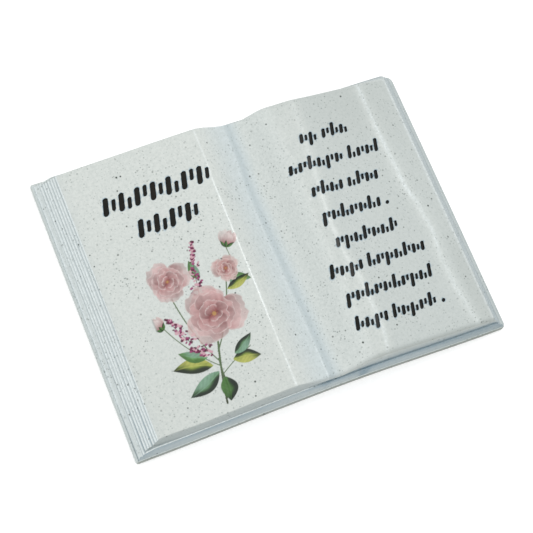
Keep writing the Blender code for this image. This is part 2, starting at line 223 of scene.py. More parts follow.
def end_points(x, head):
    """Offset from the end, height, painted shade, painted highlight and painted grey of each point up the
    foot or the head.
    """
    draw = bow(x, head)
    left = 1 - smooth((x - 6.0) / 26.0)
    right = smooth((x - 76.0) / 14.0)
    if head:
        top_y = HEAD_START - 0.6 * bell(x - 104.0, 24.0)
    else:
        measured = page_height(x, np.full_like(x, FOOT_MEASURE))
        top_y = FOOT_START + 0.9 * (measured - VALLEY_HEIGHT) / 7 + 0.8 * left
    page_y = DEPTH - top_y if head else top_y
    edge_z = page_height(x, page_y)
    near = np.minimum(x - SIDE_MARGIN, WIDTH - SIDE_MARGIN - x) / LINE_REACH
    line_z = BAND_TOP + (LINE_HEIGHT - BAND_TOP) * smooth(near)
    line_z = np.minimum(line_z, BAND_TOP + 0.75 * (edge_z - BAND_TOP))
    foot_y = draw + END_MARGIN
    setback = LINE_SETBACK + 0.3 * (1 - right)
    line_y = foot_y + setback
    ledge = 0.15 + 0.25 * (1 - right) + 0.7 * left
    rounding = ROUNDING + MORE_ROUNDING * right
    level = np.zeros_like(x)
    far = smooth((x - 120.0) / 45.0)
    blot = 0.5 * bell(x - 107.5, 2.2) + 0.12 * bell(x - 88.5, 1.6)
    # Painted grey shade lies on the foot only.
    painted_shading = 0.0 if head else 1.0
    # Rounded edge of the board.
    # Painted grey shade on the board's wall and painted highlights along its top and the light line above it.
    rows = [(draw + offset, level + z, level + 0.1, level + 0.2 * (z > RIM_HIGHLIGHT_FROM),
             level + 0.3 + 0.7 * painted_shading) for offset, z in BOARD_EDGE]
    rows.append((foot_y - 0.06, level + FACE_FROM - 0.05, level + 0.1, level + 0.45, level))
    # Lower face, up to the line.
    for t in (0.0, 0.04, 0.1, 0.2, 0.33, 0.48, 0.64, 0.8, 0.93):
        # Painted shade darkens the lower face, more towards the line and the right end; blot adds two dark
        # blemishes.
        shade = (0.58 + 0.16 * far - 0.08 * bell(x - 72.0, 30.0)) * smooth(t * 7)
        shade = shade + (0.30 + 0.06 * right) * smooth((t - 0.35) / 0.65)
        shade = shade + blot * smooth(t * 5) + 0.05 * np.sin(x / 9 + 4 * t)
        rows.append((foot_y + setback * t**0.76, FACE_FROM + (line_z - FACE_FROM) * t, shade,
                     level + 0.4 * (t < 0.05), 0.2 * far * painted_shading))
    # The line itself, a bead on the left and a plain step on the right.
    for left_offset, left_z, left_shade, painted_highlight, right_offset, right_z in LINE_STEPS:
        # A painted highlight on the bead, painted shade under it and along the step.
        offset = left_offset + (right_offset - left_offset) * right
        z = line_z + left_z + (right_z - left_z) * right
        shade = left_shade + (0.84 - left_shade) * right + blot
        rows.append((line_y + offset, z, shade, painted_highlight * (1 - right), level))
    start_y, start_z = line_y + np.maximum(ledge, 0.58 + 0.1 * right), line_z + 0.5 + 0.3 * right
    page_shade, page_grey = page_light_and_gloss(x, page_y)[:, 0], page_grey_shade(x, page_y)
    # Upper face, then the rounding over on to the page.
    for t in (0.0, 0.15, 0.32, 0.5, 0.68, 0.84):
        # Painted shade and painted grey shade on the upper face and the rounding.
        shade = (0.64 - 0.06 * t) * (1 - right) + (page_shade + 0.78 * (1 - t) ** 0.8) * right
        grey = (0.52 * (1 - right) + (0.3 + 0.22 * t) * right) * painted_shading
        z = start_z + (edge_z - rounding - start_z) * t
        rows.append((start_y + (top_y - start_y) * t, z, shade, level, grey))
    for turn in np.linspace(0, math.pi / 2, ROUNDING_STEPS):
        shade = page_shade + (0.50 * (1 - right) + 0.22 * right) * max(0.0, math.cos(turn) - 0.2)
        grey = page_grey + painted_shading * (0.52 * right * math.cos(turn) + 0.44 * (1 - right)) * math.cos(turn)
        rows.append((top_y + rounding * (1 - math.cos(turn)), edge_z - rounding * (1 - math.sin(turn)),
                     shade, level, grey))
    points = np.array([np.broadcast_arrays(*row) for row in rows]).transpose(1, 0, 2)
    if head:
        points[2] = page_shade + 0.4 * (points[2] - page_shade)
    return points


# Columns lie closer across the ridge and the crease, and rows closer up the foot and the head.
side_count = len(BOARD_EDGE) + 1 + len(BAND) + LEAVES * LEAF_POINTS
page_columns = []
for start, stop, step in ((EDGE_AT, 70.0, PAGE_STEP), (70.0, 74.0, RIDGE_STEP), (74.0, 85.0, PAGE_STEP),
                          (85.0, 90.0, CREASE_STEP), (90.0, WIDTH - EDGE_AT, PAGE_STEP)):
    page_columns += list(np.arange(start, stop, step))
page_columns.append(WIDTH - EDGE_AT)
steps = end_points(np.array([40.0]), False)[0][:, 0]
end_count = len(steps)
page_rows = math.ceil((DEPTH - ENDS_SPAN) / PAGE_STEP)
columns, rows = 2 * side_count + len(page_columns), 2 * end_count + page_rows

bm = bmesh.new()
bmesh.ops.create_grid(bm, x_segments=columns - 1, y_segments=rows - 1, size=1.0)
column = np.array([round((vert.co.x + 1) / 2 * (columns - 1)) for vert in bm.verts])
row = np.array([round((vert.co.y + 1) / 2 * (rows - 1)) for vert in bm.verts])

nominal_y = np.linspace(0, DEPTH, rows)
nominal_y[:end_count], nominal_y[-end_count:] = steps, DEPTH - steps[::-1]
nominal_y[end_count:-end_count] = np.linspace(steps[-1], DEPTH - steps[-1], page_rows + 2)[1:-1]
left, right = side_points(nominal_y, -1), side_points(nominal_y, 1)[:, ::-1]
middle_x = np.repeat(np.array(page_columns)[:, None], rows, axis=1)
sheet_x = np.vstack([left[0], middle_x, WIDTH - right[0]])
column_x = sheet_x[:, rows // 2]

OPEN_ABOVE = 99.0
foot, head = end_points(column_x, False), end_points(column_x, True)[:, ::-1]
between = np.linspace(0, 1, page_rows + 2)[1:-1, None]
open_y = foot[0][-1] + (DEPTH - head[0][0] - foot[0][-1]) * between
sheet_y = np.vstack([foot[0], open_y, DEPTH - head[0]]).T
ends_z = np.vstack([foot[1], np.full_like(open_y, OPEN_ABOVE), head[1]]).T
page_y = sheet_y[side_count:-side_count]
sides_z = np.vstack([left[1], page_height(middle_x, page_y), right[1]])
sheet_z = np.minimum(sides_z, ends_z)

# Painted blue-grey shade in the recesses and on faces turned from the light, painted highlights along raised
# edges and folds, a painted cool cast on the slope, the fore-edges and the ends, and duller gloss in places.
LEFT_COOL, RIGHT_COOL = 0.6, 0.3
SIDE_DULL, END_DULL, NEAR_END = 0.35, 0.65, 5.0
sheet_light_and_gloss = np.zeros((columns, rows, 4))
sheet_light_and_gloss[side_count:-side_count] = page_light_and_gloss(middle_x, page_y)
for side, span, cool in (
        (left, slice(0, side_count), LEFT_COOL), (right, slice(-side_count, None), RIGHT_COOL)):
    all_along = np.ones_like(side[2])
    sheet_light_and_gloss[span] = np.stack([side[2], side[3], cool * all_along, SIDE_DULL * all_along], axis=-1)
# Painted grey shade over the pages, the board's wall and the foot.
sheet_grey_shade = np.vstack([left[4], page_grey_shade(middle_x, page_y), right[4]])
end_light_and_gloss = np.zeros((columns, rows, 4))
end_grey_shade = np.zeros((columns, rows))
rolled = np.cos(np.linspace(0, math.pi / 2, ROUNDING_STEPS))
upright = np.concatenate([np.ones(end_count - ROUNDING_STEPS), rolled])
for end, span, stand in (
        (foot, slice(0, end_count), upright), (head, slice(rows - end_count, rows), upright[::-1])):
    near_y = NEAR_END if end is foot else DEPTH - NEAR_END
    near_page = np.repeat(page_light_and_gloss(column_x, near_y)[:, None], end_count, axis=1)
    up = smooth((end[1].T - BAND_TOP) / 12.0)
    painted_highlight = np.maximum(end[3].T, up**6 * near_page[..., 1])
    cool, dull = up * near_page[..., 2], near_page[..., 3] + (END_DULL - near_page[..., 3]) * stand
    end_light_and_gloss[:, span] = np.stack([end[2].T, painted_highlight, cool, dull], axis=-1)
    end_grey_shade[:, span] = end[4].T
on_end = ends_z <= sides_z
on_end[side_count:-side_count] = ends_z[side_count:-side_count] < OPEN_ABOVE
sheet_light_and_gloss[on_end], sheet_grey_shade[on_end] = end_light_and_gloss[on_end], end_grey_shade[on_end]

# Square corners of the board drawn on to a quarter circle.
on_left, in_front = sheet_x < WIDTH / 2, sheet_y < DEPTH / 2
radius = np.where(on_left, np.where(in_front, CORNER_RADII["front_left"], CORNER_RADII["back_left"]),
                  np.where(in_front, CORNER_RADII["front_right"], CORNER_RADII["back_right"]))
from_x = radius - np.minimum(sheet_x, WIDTH - sheet_x)
from_y = radius - np.where(in_front, sheet_y - bow(sheet_x), DEPTH - bow(sheet_x, True) - sheet_y)
a, b = np.clip(from_x / radius, 0, 1), np.clip(from_y / radius, 0, 1)
sheet_x += np.where(on_left, 1, -1) * radius * a * (1 - np.sqrt(1 - b * b / 2))
sheet_y += np.where(in_front, 1, -1) * radius * b * (1 - np.sqrt(1 - a * a / 2))

# The right side draws in a little towards the head.
sheet_x -= SIDE_TAPER * smooth((sheet_x - 155.0) / 20.0) * smooth((sheet_y - 30.0) / 130.0)

# The attributes carry painted shade, painted highlight, a painted cool cast, dullness and painted grey shade.
light_and_gloss = bm.verts.layers.float_color.new("light_and_gloss")
grey_shade = bm.verts.layers.float.new("rim")
for vert, i, j in zip(bm.verts, column, row):
    vert.co = (sheet_x[i, j], sheet_y[i, j], sheet_z[i, j])
    vert[light_and_gloss] = np.clip(sheet_light_and_gloss[i, j], 0, 1)
    vert[grey_shade] = sheet_grey_shade[i, j]

# The board's side goes down to the flat underside, with a fine bevel between them.
BEVEL_HEIGHT, BEVEL_INSET = 0.35, 0.3
rim = [edge for edge in bm.edges if edge.is_boundary]
for drop, inset in ((BEVEL_HEIGHT, 0.0), (0.0, BEVEL_INSET)):
    grown = bmesh.ops.extrude_edge_only(bm, edges=rim)["geom"]
    rim = [item for item in grown if isinstance(item, bmesh.types.BMEdge)]
    for vert in [item for item in grown if isinstance(item, bmesh.types.BMVert)]:
        vert.co.z = drop
        vert.co.x += inset * (1 - 2 * vert.co.x / WIDTH)
        vert.co.y += inset * (1 - 2 * vert.co.y / DEPTH)
bmesh.ops.contextual_create(bm, geom=rim)


def set_down(bm, name):
    """New object from a mesh in millimetres, moved to the middle of the book with its faces turned out."""
    middle = Matrix.Scale(0.001, 4) @ Matrix.Translation((-WIDTH / 2, -DEPTH / 2, 0))
    bmesh.ops.transform(bm, verts=bm.verts, matrix=middle)
    bmesh.ops.recalc_face_normals(bm, faces=bm.faces)
    item = bpy.data.objects.new(name, bpy.data.meshes.new(name))
    bpy.context.scene.collection.objects.link(item)
    bm.to_mesh(item.data)
    bm.free()
    return item


casting = set_down(bm, "open_book")


# The inscription. Rows of shallow slanted strokes sunk into the pages by the mould and filled with gloss
# black paint, two rows of large strokes on the left page and eight rows of small ones on the right page.
STROKE_DEPTH, CUT_ABOVE, TOP_SIZE, FLOOR_SIZE = 0.55, 0.6, 1.06, 0.92
SLANT = math.tan(math.radians(15))
HEADING = dict(
    centre=47.16, up=102.3, row=14.2, pitch=3.6, length=8.3, width=2.5, gap=0.0, rows=((14,), (8,)))
VERSE = dict(
    centre=128.61, up=106.0, row=12.6, pitch=2.3, length=4.4, width=1.8, gap=2.1,
    rows=((4, 6), (12, 7), (7, 7), (13, 1), (14,), (7, 13), (19,), (7, 10, 1)))


def cut_stroke(bm, x, y, length, width, taper):
    """Round-ended slanted bar, a little wider at its top, with walls that lean in to the floor."""
    ring = bmesh.ops.create_circle(bm, cap_ends=True, segments=12, radius=width / 2)["verts"]
    for vert in ring:
        up = max(0.0, (length - width)) * (vert.co.y > 0) + vert.co.y + width / 2
        wide = 1 + taper * up / length
        vert.co.x, vert.co.y = x + width / 2 + vert.co.x * wide + up * SLANT, y + up
    face = ring[0].link_faces[0]
    middle = sum((vert.co for vert in ring), Vector()) / len(ring)
    lifted = bmesh.ops.extrude_face_region(bm, geom=[face])["geom"]
    top = [item for item in lifted if isinstance(item, bmesh.types.BMVert)]
    for vert in top:
        vert.co = middle + (vert.co - middle) * TOP_SIZE
        vert.co.z = float(page_height(vert.co.x, vert.co.y)) + CUT_ABOVE
    for vert in ring:
        vert.co = middle + (vert.co - middle) * FLOOR_SIZE
        vert.co.z = float(page_height(vert.co.x, vert.co.y)) - STROKE_DEPTH


def cut_rows(bm, centre, up, row, pitch, length, width, gap, rows):
    """Centred rows of strokes in groups. Thick and thin strokes take turns, with a few long ones."""
    mark = 0
    for line, groups in enumerate(rows):
        y = up - line * row
        x = centre - (sum(groups) * pitch + (len(groups) - 1) * gap) / 2
        for group in groups:
            for stroke in range(group):
                if group == 1:
                    cut_stroke(bm, x, y, width, width, 0.0)
                elif stroke % 2 == 0:
                    kind = (mark * 3 + line) % 7
                    above = 0.45 * length if kind in (1, 4) and gap else 0.0
                    below = 0.45 * length if kind == 6 and gap else 0.0
                    cut_stroke(bm, x - below * SLANT, y - below, length + above + below, width, 0.12)
                else:
                    raised = 0.18 * length * ((mark + line) % 3)
                    thin_x = x + 0.1 * pitch + raised * SLANT
                    cut_stroke(bm, thin_x, y + raised, 0.62 * length, 0.7 * width, 0.2)
                mark += 1
                x += pitch
            x += gap


bm = bmesh.new()
cut_rows(bm, **HEADING)
cut_rows(bm, **VERSE)
for face in bm.faces:
    face.material_index = 1
strokes = set_down(bm, "stroke_cutters")

resin = bpy.data.materials.new("speckled_resin")
black_paint = bpy.data.materials.new("gloss_black_paint")
for item in (casting, strokes):
    item.data.materials.append(resin)
    item.data.materials.append(black_paint)
cut = casting.modifiers.new("strokes", "BOOLEAN")
cut.operation, cut.solver, cut.object = "DIFFERENCE", "EXACT", strokes
settled = bpy.data.meshes.new_from_object(casting.evaluated_get(bpy.context.evaluated_depsgraph_get()))
casting.modifiers.clear()
casting.data = settled
bpy.data.objects.remove(strokes, do_unlink=True)


# The print. A spray of roses, buds, plain leaves and small blossom, transferred on to the left page under the
# clear coat. It is colour only, kept in the mesh where the faces are made finer.
PRINT_BRIGHTNESS = 0.60
PRINT_BOX = (25.0, 81.0, 4.0, 88.0)
PRINT_CUTS = 3
PAGES_ABOVE = 12.0


def tone(red, green, blue):
    """Linear colour of a printed ink, from its screen value."""
    value = np.array([red, green, blue]) / 255
    return np.where(value <= 0.04045, value / 12.92, ((value + 0.055) / 1.055) ** 2.4) * PRINT_BRIGHTNESS


class Sheet:
    """Points of the page face with the ink that the strokes of the brush leave on them."""

    def __init__(self, points):
        self.x, self.y = points[:, 0], points[:, 1]
        self.ink = np.ones((len(points), 3)) * tone(214, 220, 214)
        self.cover = np.zeros(len(points))

    def lay(self, alpha, ink):
        """Brush an ink over the points, by a share for each."""
        alpha = np.clip(alpha, 0, 1)
        self.ink += (ink - self.ink) * alpha[:, None]
        self.cover += (1 - self.cover) * alpha

    def local(self, x, y, angle, length, width):
        """Shares along and across a petal or leaf that starts at a point."""
        turn = math.radians(angle)
        dx, dy = self.x - x, self.y - y
        along, across = dx * math.cos(turn) + dy * math.sin(turn), dy * math.cos(turn) - dx * math.sin(turn)
        return along / length, across / (width / 2)


def blend(t, first, second):
    """Inks by a share of the way from one to another."""
    return first + (second - first) * np.clip(t, 0, 1)[:, None]


def petal(sheet, x, y, angle, length, width, inner, outer, rim, turn_dark=0.0, seed=0, soft=0.35):
    """Broad ruffled petal, deep at its base, with faint veins, a light rim and one side in shade."""
    s, t = sheet.local(x, y, angle, length, width)
    ruffle = 0.035 * np.sin(7 * t + seed) + 0.02 * np.sin(15 * t + 2.3 * seed)
    reach = 1.0 + ruffle - 0.07 * bell(t - 0.1 * math.sin(seed), 0.22)
    s = s / reach
    half = np.where((s > 0) & (s < 1), np.sin(math.pi * np.clip(s, 0, 1) ** 1.35) ** 0.62, 0.0)
    gap = (half - np.abs(t)) * width / 2
    gap = np.minimum(gap, (1 - s) * length)
    alpha = smooth(gap / soft) * (0.97 - 0.17 * smooth(s))
    ink = blend(smooth(s * 1.15), inner, outer)
    vein = 0.5 + 0.5 * np.sin(11 * t / (0.35 + 0.5 * np.clip(s, 0, 1)) + seed)
    ink = ink * (1 - 0.15 * vein * smooth(1.2 - s))[:, None]
    ink = ink * (1 - 0.34 * turn_dark * smooth(0.5 + 0.7 * t))[:, None]
    ink = blend(0.85 * smooth(1 - gap / 0.9) * smooth(s * 2 - 0.6), ink, rim)
    sheet.lay(alpha, ink)


def leaf(sheet, x, y, angle, length, width, dark, light, bend=0.0, soft=0.3):
    """Plain pointed leaf with a midrib, one half darker than the other."""
    s, t = sheet.local(x, y, angle, length, width)
    t = t - bend * s * (1 - s) * 4
    half = np.where((s > 0) & (s < 1), np.sin(math.pi * np.clip(s, 0, 1) ** 0.85) ** 0.95, 0.0)
    gap = (half - np.abs(t)) * width / 2
    side = smooth(0.5 + 1.0 * t + 0.2 * np.sin(9 * s) + 0.35 * (s - 0.5))
    fresh = (0.45 * light + 0.55 * dark) * np.array([0.95, 1.25, 0.7])
    ink = blend(smooth(1.7 * side - 0.8), blend(side * 1.4, light, fresh), dark)
    vein = bell((s * 7 + np.abs(t) * 1.8) % 1.0 - 0.5, 0.16)
    ink = ink * (1 - 0.14 * vein)[:, None]
    ink = blend(0.55 * smooth(s * 1.6 - 0.7), ink, dark * 0.8)
    ink = blend(0.7 * bell(t, 0.06) * smooth((1 - s) * 3), ink, light * 1.05)
    sheet.lay(smooth(gap / soft) * 0.985, ink)


def stem(sheet, points, width, ink, tip=None):
    """Thin stem along a curve through three points."""
    p0, p1, p2 = (np.array(point, float) for point in points)
    best, where = np.full(len(sheet.x), 1e9), np.zeros(len(sheet.x))
    turns = [(1 - t) ** 2 * p0 + 2 * t * (1 - t) * p1 + t**2 * p2 for t in np.linspace(0, 1, 17)]
    for k, (start, end) in enumerate(zip(turns, turns[1:])):
        dx, dy = end - start
        along = np.clip(((sheet.x - start[0]) * dx + (sheet.y - start[1]) * dy) / (dx * dx + dy * dy), 0, 1)
        d = np.hypot(sheet.x - start[0] - along * dx, sheet.y - start[1] - along * dy)
        closer = d < best
        best, where = np.where(closer, d, best), np.where(closer, (k + along) / 16, where)
    tip = ink if tip is None else tip
    sheet.lay(smooth((width / 2 - best) / 0.22 + 0.5), blend(where, ink, tip))


def dots(sheet, points, radius, ink, soft=0.25):
    """Round touches of the brush."""
    for x, y in points:
        sheet.lay(smooth((radius - np.hypot(sheet.x - x, sheet.y - y)) / soft + 0.3) * 0.95, ink)


# Number of petals in each ring of a rose, then their reach, breadth and depth of colour.
ROSE_RINGS = ((6, 1.0, 1.10, 0.0), (5, 0.76, 0.92, 0.3), (5, 0.52, 0.66, 0.55), (4, 0.32, 0.44, 0.8))


def rose(sheet, x, y, radius, turn, squash, inner, outer, rim, heart=1.0):
    """Full garden rose, with rings of broad ruffled petals round a small heart with a few stamens."""
    for ring, (count, reach, wide, depth) in enumerate(ROSE_RINGS):
        for k in range(count):
            angle = turn + 41 * ring + (k * 2 % count) * 360 / count + 9 * math.sin(5.3 * k + ring)
            way = math.radians(angle)
            size = radius * reach * (1 + 0.10 * math.sin(3.1 * k + 2 * ring + radius))
            length = size * (1 - (1 - squash) * abs(math.sin(way)))
            base = inner * (1.06 - 0.10 * ring)
            petal(sheet, x - 0.05 * radius * math.cos(way), y - 0.05 * radius * math.sin(way), angle, length,
                  wide * radius, base, outer + (inner - outer) * depth * 0.55, rim, turn_dark=0.9,
                  seed=k * 1.7 + ring * 2.9 + radius, soft=0.22)
    around = [(math.cos(a), math.sin(a)) for a in np.linspace(0, 2 * math.pi, 8)[:-1]]
    dots(sheet, [(x + 0.10 * radius * heart * c, y + 0.10 * radius * heart * s * squash) for c, s in around],
         0.28, tone(186, 118, 84))
    dots(sheet, [(x, y)], 0.07 * radius * heart, tone(206, 160, 100), soft=0.5)


def blossom(sheet, start, end, count, rng):
    """Sprig of tiny blossom scattered along a short line."""
    start, end = np.array(start, float), np.array(end, float)
    across = np.array([-(end - start)[1], (end - start)[0]]) / np.hypot(*(end - start))
    stem(sheet, (start, (start + end) / 2 + 0.6 * across, end), 0.35, tone(120, 104, 96))
    for k in range(count):
        t = (k + rng.random()) / count
        away = (1 - t) * 3.0 + 0.6
        x, y = start + (end - start) * t + across * rng.uniform(-away, away)
        ink = (tone(128, 30, 84), tone(172, 76, 128), tone(232, 184, 196), tone(98, 16, 60))[k % 4]
        size = rng.uniform(0.34, 0.66) * (1.3 if k % 4 == 2 else 1.0)
        dots(sheet, [(x, y), (x + size * 0.9, y + rng.uniform(-0.5, 0.5))], size, ink)


def paint_spray(sheet):
    """The whole spray, from its stems up to the open roses."""
    rng = random.Random(11)
    deep, mid, pale = tone(176, 84, 88), tone(240, 204, 202), tone(250, 236, 232)
    dark_leaf, green_leaf = tone(14, 34, 20), tone(88, 134, 70)
    grey_leaf, lime_leaf = tone(142, 184, 156), tone(204, 208, 106)
    stalk, old_stalk = tone(106, 130, 92), tone(74, 84, 62)
    stem(sheet, ((41.5, 8.0), (43.5, 20.0), (47.5, 34.0)), 0.95, old_stalk, stalk)
    stem(sheet, ((44.3, 9.6), (44.2, 17.0), (45.0, 27.0)), 0.7, old_stalk, stalk)
    stem(sheet, ((45.0, 26.0), (38.0, 40.0), (36.0, 58.0)), 0.6, stalk)
    stem(sheet, ((46.0, 30.0), (57.0, 44.0), (62.5, 64.0)), 0.6, stalk)
    stem(sheet, ((44.6, 24.0), (34.0, 34.0), (28.2, 47.0)), 0.5, stalk)
    stem(sheet, ((44.2, 20.0), (52.0, 25.0), (59.5, 27.5)), 0.45, stalk)
    stem(sheet, ((60.0, 54.0), (67.5, 62.0), (66.0, 72.0)), 0.45, stalk)
    leaf(sheet, 43.4, 22.0, 203, 17.0, 7.0, dark_leaf, grey_leaf, bend=0.25)
    leaf(sheet, 42.0, 25.0, 168, 17.5, 7.2, dark_leaf, lime_leaf, bend=-0.3)
    leaf(sheet, 41.0, 29.0, 152, 13.0, 5.4, green_leaf, grey_leaf, bend=0.2)
    leaf(sheet, 44.8, 19.0, 262, 11.0, 7.6, dark_leaf, green_leaf, bend=0.2)
    leaf(sheet, 50.5, 24.5, 350, 12.5, 6.4, dark_leaf, lime_leaf, bend=0.2)
    leaf(sheet, 52.0, 26.5, 33, 12.0, 5.0, dark_leaf, grey_leaf, bend=-0.2)
    leaf(sheet, 61.0, 58.0, 345, 11.0, 5.0, green_leaf, grey_leaf, bend=0.3)
    leaf(sheet, 59.5, 54.0, 18, 12.5, 4.6, dark_leaf, lime_leaf, bend=-0.2)
    leaf(sheet, 50.0, 62.0, 98, 10.0, 4.8, green_leaf, grey_leaf, bend=0.1)
    blossom(sheet, (47.5, 55.0), (52.5, 79.5), 64, rng)
    blossom(sheet, (37.0, 37.0), (30.5, 51.0), 44, rng)
    blossom(sheet, (43.5, 31.0), (35.0, 34.5), 34, rng)
    for x, y, angle, size in ((28.0, 46.5, 120, 7.2), (66.0, 71.5, 62, 8.6)):
        petal(sheet, x, y, angle + 14, size, size * 0.72, deep, pale, pale * 1.02, 0.6, seed=3)
        petal(sheet, x, y, angle - 14, size, size * 0.72, deep, mid, pale, 0.9, seed=5)
        petal(sheet, x, y, angle, size * 0.86, size * 0.62, deep, pale, pale * 1.04, 0.5, seed=8)
        for turn, reach in ((48, 0.5), (-46, 0.55), (6, 0.42)):
            leaf(sheet, x, y, angle + turn, size * reach, 1.7, dark_leaf, green_leaf)
    rose(sheet, 37.0, 66.0, 10.8, 12, 0.86,
         tone(190, 104, 106), tone(238, 206, 204), tone(248, 234, 230), heart=0.8)
    rose(sheet, 62.5, 63.0, 7.0, 40, 0.9,
         tone(190, 100, 100), tone(240, 206, 202), tone(248, 232, 226), heart=0.9)
    rose(sheet, 50.5, 46.0, 14.6, -14, 0.92, deep, mid, pale, heart=1.0)


bm = bmesh.new()
bm.from_mesh(casting.data)


def in_book(points):
    """Points in millimetres from the board's front left corner."""
    return points * 1000 + np.array([WIDTH / 2, DEPTH / 2, 0])


def on_pages(points, x0, x1, y0, y1):
    """Which points lie on the page faces within an oblong."""
    x, y, z = points.T
    return (x > x0) & (x < x1) & (y > y0) & (y < y1) & (z > PAGES_ABOVE)


x0, x1, y0, y1 = PRINT_BOX
near = []
for face in bm.faces:
    x, y, z = in_book(np.array(face.calc_center_median()))
    if x0 < x < x1 and y0 < y < y1 and len(face.verts) == 4 and face.normal.z > 0.5:
        near.append(face)
share = (np.arange(PRINT_CUTS + 1) + 0.5) / (PRINT_CUTS + 1)
u, v = (side.ravel() for side in np.meshgrid(share, share))
weights = np.stack([(1 - u) * (1 - v), u * (1 - v), u * v, (1 - u) * v], axis=1)
corners = in_book(np.array([[vert.co for vert in face.verts] for face in near]))
trial = Sheet((weights @ corners).reshape(-1, 3))
paint_spray(trial)
inked = trial.cover.reshape(len(near), -1).max(axis=1) > 0.02
fine = {edge for face, wanted in zip(near, inked) if wanted for edge in face.edges}
bmesh.ops.subdivide_edges(bm, edges=list(fine), cuts=PRINT_CUTS, use_grid_fill=True)
points = in_book(np.array([vert.co for vert in bm.verts]))
bm.verts.ensure_lookup_table()
for k in np.nonzero(on_pages(points, x0 - 1, x1 + 1, 6.0, y1 + 0.4))[0]:
    bm.verts[k].co.z = float(page_height(points[k, 0], points[k, 1])) / 1000
bm.to_mesh(casting.data)
bm.free()

count = len(casting.data.vertices)
points = np.empty(count * 3)
casting.data.vertices.foreach_get("co", points)
points = in_book(points.reshape(-1, 3))
page = on_pages(points, *PRINT_BOX)
printed = Sheet(points[page])
paint_spray(printed)
colours = np.zeros((count, 4))
colours[page, :3], colours[page, 3] = printed.ink, printed.cover
layer = casting.data.color_attributes.new("print", "FLOAT_COLOR", "POINT")
layer.data.foreach_set("color", colours.ravel())


# Finishes. The resin is cast through and through with fine dark grit and coated with clear gloss lacquer.
# Its raised edges and folds carry painted highlights broken into a fine painted sparkle. The strokes are
# brushed with black gloss paint with a brownish painted sheen.
# The cool colour, the pale edge colour, the recess shade and the rim grey are painted cool shade, painted
# highlight, painted shade and painted grey shade.
RESIN, PALE_RESIN, PAINTED_COOL_RESIN = (0.512, 0.543, 0.520, 1), (0.562, 0.592, 0.568, 1), (0.508, 0.564, 0.572, 1)
HIGHLIGHT_COLOUR, RECESS_SHADE, PAINTED_SHADE_GREY = (0.72, 0.78, 0.79, 1), (0.15, 0.222, 0.27, 1), (0.24, 0.26, 0.235, 1)
FLECK_GREY, FAINT_GRIT, DARK_GRIT = (0.33, 0.37, 0.36, 1), (0.16, 0.19, 0.18, 1), (0.035, 0.045, 0.04, 1)
BLACK, BROWNISH_BLACK = (0.002, 0.003, 0.003, 1), (0.014, 0.012, 0.008, 1)


def wire(tree, kind, inputs=(), **settings):
    """New shader node with its settings made and its inputs linked or given."""
    node = tree.nodes.new(kind)
    for name, value in settings.items():
        setattr(node, name, value)
    for name, value in dict(inputs).items():
        if isinstance(value, bpy.types.NodeSocket):
            tree.links.new(value, node.inputs[name])
        else:
            node.inputs[name].default_value = value
    return node


def mix(tree, factor, first, second, how="MIX"):
    """Colour mix that returns its result socket."""
    node = wire(tree, "ShaderNodeMix", data_type="RGBA", blend_type=how)
    for index, value in ((0, factor), (6, first), (7, second)):
        if isinstance(value, bpy.types.NodeSocket):
            tree.links.new(value, node.inputs[index])
        else:
            node.inputs[index].default_value = value
    return node.outputs[2]


def maths(tree, how, first, second=0.0, third=0.0, clamp=False):
    """Maths node that returns its result socket."""
    node = wire(tree, "ShaderNodeMath", operation=how, use_clamp=clamp)
    for index, value in enumerate((first, second, third)):
        if isinstance(value, bpy.types.NodeSocket):
            tree.links.new(value, node.inputs[index])
        else:
            node.inputs[index].default_value = value
    return node.outputs[0]


def noise(tree, place, scale, detail, roughness=0.5):
    """Soft random pattern that returns its value socket."""
    inputs = {"Vector": place, "Scale": scale, "Detail": detail, "Roughness": roughness}
    return wire(tree, "ShaderNodeTexNoise", inputs).outputs["Fac"]


def spread(tree, value, low, high, new_low=0.0, new_high=1.0):
    """Value stretched from one range over another and held at its ends."""
    inputs = {"Value": value, "From Min": low, "From Max": high, "To Min": new_low, "To Max": new_high}
    return wire(tree, "ShaderNodeMapRange", inputs).outputs[0]


def grit(tree, place, cells, size, share, seed):
    """Mask of specks, up to size as a share of a cell, in a share of so many cells a metre, and a tint."""
    moved = wire(tree, "ShaderNodeMapping", {"Vector": place, "Location": (seed, 2 * seed, 3 * seed)})
    cell = wire(tree, "ShaderNodeTexVoronoi", {"Vector": moved.outputs[0], "Scale": cells})
    parts = wire(tree, "ShaderNodeSeparateColor", {"Color": cell.outputs["Color"]})
    present = maths(tree, "LESS_THAN", parts.outputs[0], share)
    radius = maths(tree, "MULTIPLY_ADD", parts.outputs[1], 0.6 * size, 0.4 * size)
    inside = maths(tree, "SUBTRACT", radius, cell.outputs["Distance"])
    edge = maths(tree, "MULTIPLY", inside, 9.0, clamp=True)
    return maths(tree, "MULTIPLY", edge, present), parts.outputs[2]


resin.use_nodes = True
tree = resin.node_tree
shader = tree.nodes["Principled BSDF"]
place = wire(tree, "ShaderNodeTexCoord").outputs["Object"]

# Pale clouds, then painted light: a painted cool cast, painted highlights with a painted sparkle, painted
# shade in the recesses and on faces turned from the light, and a painted grey shade.
broad = noise(tree, place, 22.0, 3.0)
colour = mix(tree, maths(tree, "MULTIPLY_ADD", broad, 0.5, 0.25), RESIN, PALE_RESIN)
light_and_gloss = wire(tree, "ShaderNodeAttribute", attribute_name="light_and_gloss")
painted_shading = wire(tree, "ShaderNodeSeparateColor", {"Color": light_and_gloss.outputs["Color"]})
colour = mix(tree, painted_shading.outputs[2], colour, PAINTED_COOL_RESIN)
